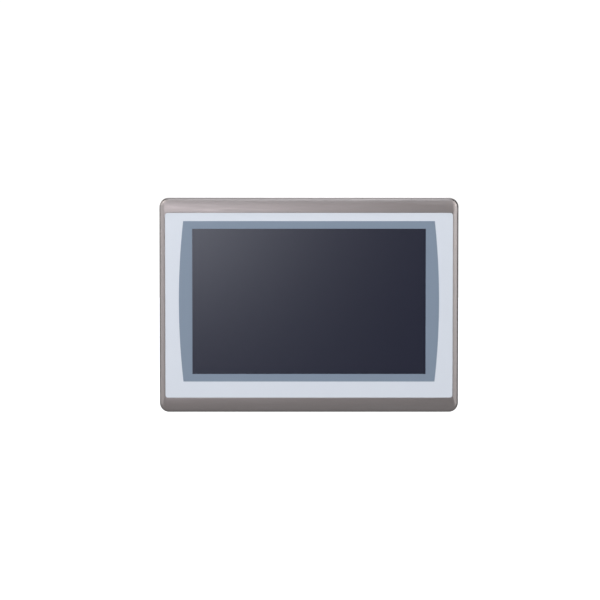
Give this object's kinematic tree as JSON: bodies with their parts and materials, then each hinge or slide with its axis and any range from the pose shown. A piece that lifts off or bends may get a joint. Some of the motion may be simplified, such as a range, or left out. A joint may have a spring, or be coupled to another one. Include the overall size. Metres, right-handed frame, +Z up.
{
  "type": "hmi touch panel",
  "caption": "Wide touch panel for a cabinet door: satin metal bezel round a printed overlay and dark display, with housing, electronics cover, sockets and cam levers behind the door.",
  "frame": {"origin": "centre of the cut-out in the cabinet door, on the door's front surface, which the bezel's seal presses on", "axes": "+X is the operator's right, +Y goes into the cabinet, +Z is up, and the display faces -Y"},
  "size_m": [0.34, 0.0705, 0.244],
  "materials": {
    "satin_metal": "fine horizontal brushing, satin",
    "printed_film": "printed polyester film with a fine matt texture",
    "screen_glass": "dark glass with a soft anti-glare surface",
    "black_plastic": "fine moulded texture",
    "grey_plastic": "moulded glass-filled nylon",
    "seal_foam": "closed-cell foam rubber",
    "zinc_sheet": "zinc-plated sheet steel",
    "tinned_steel": "bright plated steel",
    "extruded_aluminium": "plain extrusion",
    "circuit_board": "green solder mask over glass-fibre laminate",
    "flex_film": "amber polyimide film",
    "cable_jacket": "grey ribbon cable",
    "terminal_green": "moulded terminal plastic",
    "light_pipe": "clear moulded light pipe",
    "label_film": "blank polyester label",
    "light_guide": "white reflector and light guide",
    "capacitor_sleeve": "shrink sleeve over an aluminium can",
    "button_white": "moulded plastic",
    "card_blue": "moulded plastic",
    "brass_plate": "yellow passivated screw"
  },
  "bodies": {
    "terminal_body": {"bezel_frame": "satin_metal", "front_overlay": "printed_film", "touch_sensor": "screen_glass", "touch_tail": "flex_film", "display_gasket": "seal_foam", "lcd_frame": "tinned_steel", "lcd_cell": "screen_glass", "backlight_unit": "light_guide", "display_cable": "cable_jacket", "panel_gasket": "seal_foam", "rear_housing": "black_plastic", "logic_cover": "zinc_sheet", "rating_label": "label_film", "port_plate": "zinc_sheet", "board_tray": "zinc_sheet", "main_board": "circuit_board", "heatsink": "extruded_aluminium", "transformer": "black_plastic", "capacitor_1": "capacitor_sleeve", "capacitor_2": "capacitor_sleeve", "ethernet_port_1": "tinned_steel", "ethernet_port_2": "tinned_steel", "usb_host_port_1": "tinned_steel", "usb_host_port_2": "tinned_steel", "usb_device_port": "tinned_steel", "power_header": "terminal_green", "sd_socket": "tinned_steel", "battery_holder": "black_plastic", "coin_cell": "tinned_steel", "status_light_1": "light_pipe", "status_light_2": "light_pipe", "reset_switch": "black_plastic", "ground_screw": "brass_plate", "housing_screw_1": "tinned_steel", "housing_screw_2": "tinned_steel", "housing_screw_3": "tinned_steel", "housing_screw_4": "tinned_steel", "cover_screw_1": "tinned_steel", "cover_screw_2": "tinned_steel", "cover_screw_3": "tinned_steel", "cover_screw_4": "tinned_steel", "cover_screw_5": "tinned_steel", "cover_screw_6": "tinned_steel", "cover_screw_7": "tinned_steel", "cover_screw_8": "tinned_steel"},
    "lever_1": {"mounting_lever_1": "grey_plastic"},
    "lever_2": {"mounting_lever_2": "grey_plastic"},
    "lever_3": {"mounting_lever_3": "grey_plastic"},
    "lever_4": {"mounting_lever_4": "grey_plastic"},
    "lever_5": {"mounting_lever_5": "grey_plastic"},
    "lever_6": {"mounting_lever_6": "grey_plastic"},
    "lever_7": {"mounting_lever_7": "grey_plastic"},
    "lever_8": {"mounting_lever_8": "grey_plastic"},
    "power_block": {"power_terminal": "terminal_green"},
    "memory_card": {"sd_card": "card_blue"},
    "battery_lid": {"battery_door": "black_plastic"},
    "reset_plunger": {"reset_button": "button_white"},
    "clamp_screw_1": {"terminal_screw_1": "tinned_steel"},
    "clamp_screw_2": {"terminal_screw_2": "tinned_steel"},
    "clamp_screw_3": {"terminal_screw_3": "tinned_steel"}
  },
  "joints": [
    {"name": "lever_1_turn", "type": "hinge", "parent": "terminal_body", "child": "lever_1", "pos_m": [-0.105, 0.012, 0.108], "axis": [0, 0, -1], "range_deg": [0, 90]},
    {"name": "lever_2_turn", "type": "hinge", "parent": "terminal_body", "child": "lever_2", "pos_m": [0, 0.012, 0.108], "axis": [0, 0, -1], "range_deg": [0, 90]},
    {"name": "lever_3_turn", "type": "hinge", "parent": "terminal_body", "child": "lever_3", "pos_m": [0.105, 0.012, 0.108], "axis": [0, 0, -1], "range_deg": [0, 90]},
    {"name": "lever_4_turn", "type": "hinge", "parent": "terminal_body", "child": "lever_4", "pos_m": [-0.105, 0.012, -0.108], "axis": [0, 0, 1], "range_deg": [0, 90]},
    {"name": "lever_5_turn", "type": "hinge", "parent": "terminal_body", "child": "lever_5", "pos_m": [0, 0.012, -0.108], "axis": [0, 0, 1], "range_deg": [0, 90]},
    {"name": "lever_6_turn", "type": "hinge", "parent": "terminal_body", "child": "lever_6", "pos_m": [0.105, 0.012, -0.108], "axis": [0, 0, 1], "range_deg": [0, 90]},
    {"name": "lever_7_turn", "type": "hinge", "parent": "terminal_body", "child": "lever_7", "pos_m": [-0.155, 0.012, 0], "axis": [1, 0, 0], "range_deg": [0, 90]},
    {"name": "lever_8_turn", "type": "hinge", "parent": "terminal_body", "child": "lever_8", "pos_m": [0.155, 0.012, 0], "axis": [-1, 0, 0], "range_deg": [0, 90]},
    {"name": "power_block_pull", "type": "slide", "parent": "terminal_body", "child": "power_block", "axis": [0, 0, -1], "range_m": [0, 0.012]},
    {"name": "clamp_screw_1_turn", "type": "hinge", "parent": "power_block", "child": "clamp_screw_1", "pos_m": [-0.08908, 0.0448, -0.0598], "axis": [0, 1, 0], "continuous": true},
    {"name": "clamp_screw_2_turn", "type": "hinge", "parent": "power_block", "child": "clamp_screw_2", "pos_m": [-0.084, 0.0448, -0.0598], "axis": [0, 1, 0], "continuous": true},
    {"name": "clamp_screw_3_turn", "type": "hinge", "parent": "power_block", "child": "clamp_screw_3", "pos_m": [-0.07892, 0.0448, -0.0598], "axis": [0, 1, 0], "continuous": true},
    {"name": "memory_card_pull", "type": "slide", "parent": "terminal_body", "child": "memory_card", "axis": [1, 0, 0], "range_m": [-0.001, 0.03]},
    {"name": "battery_lid_swing", "type": "hinge", "parent": "terminal_body", "child": "battery_lid", "pos_m": [-0.1494, 0.024, 0.04], "axis": [0, 0, 1], "range_deg": [0, 105]},
    {"name": "reset_press", "type": "slide", "parent": "terminal_body", "child": "reset_plunger", "axis": [0, -1, 0], "range_m": [0, 0.001], "stiffness_N_per_m": 1500, "springref_m": -0.0005}
  ]
}
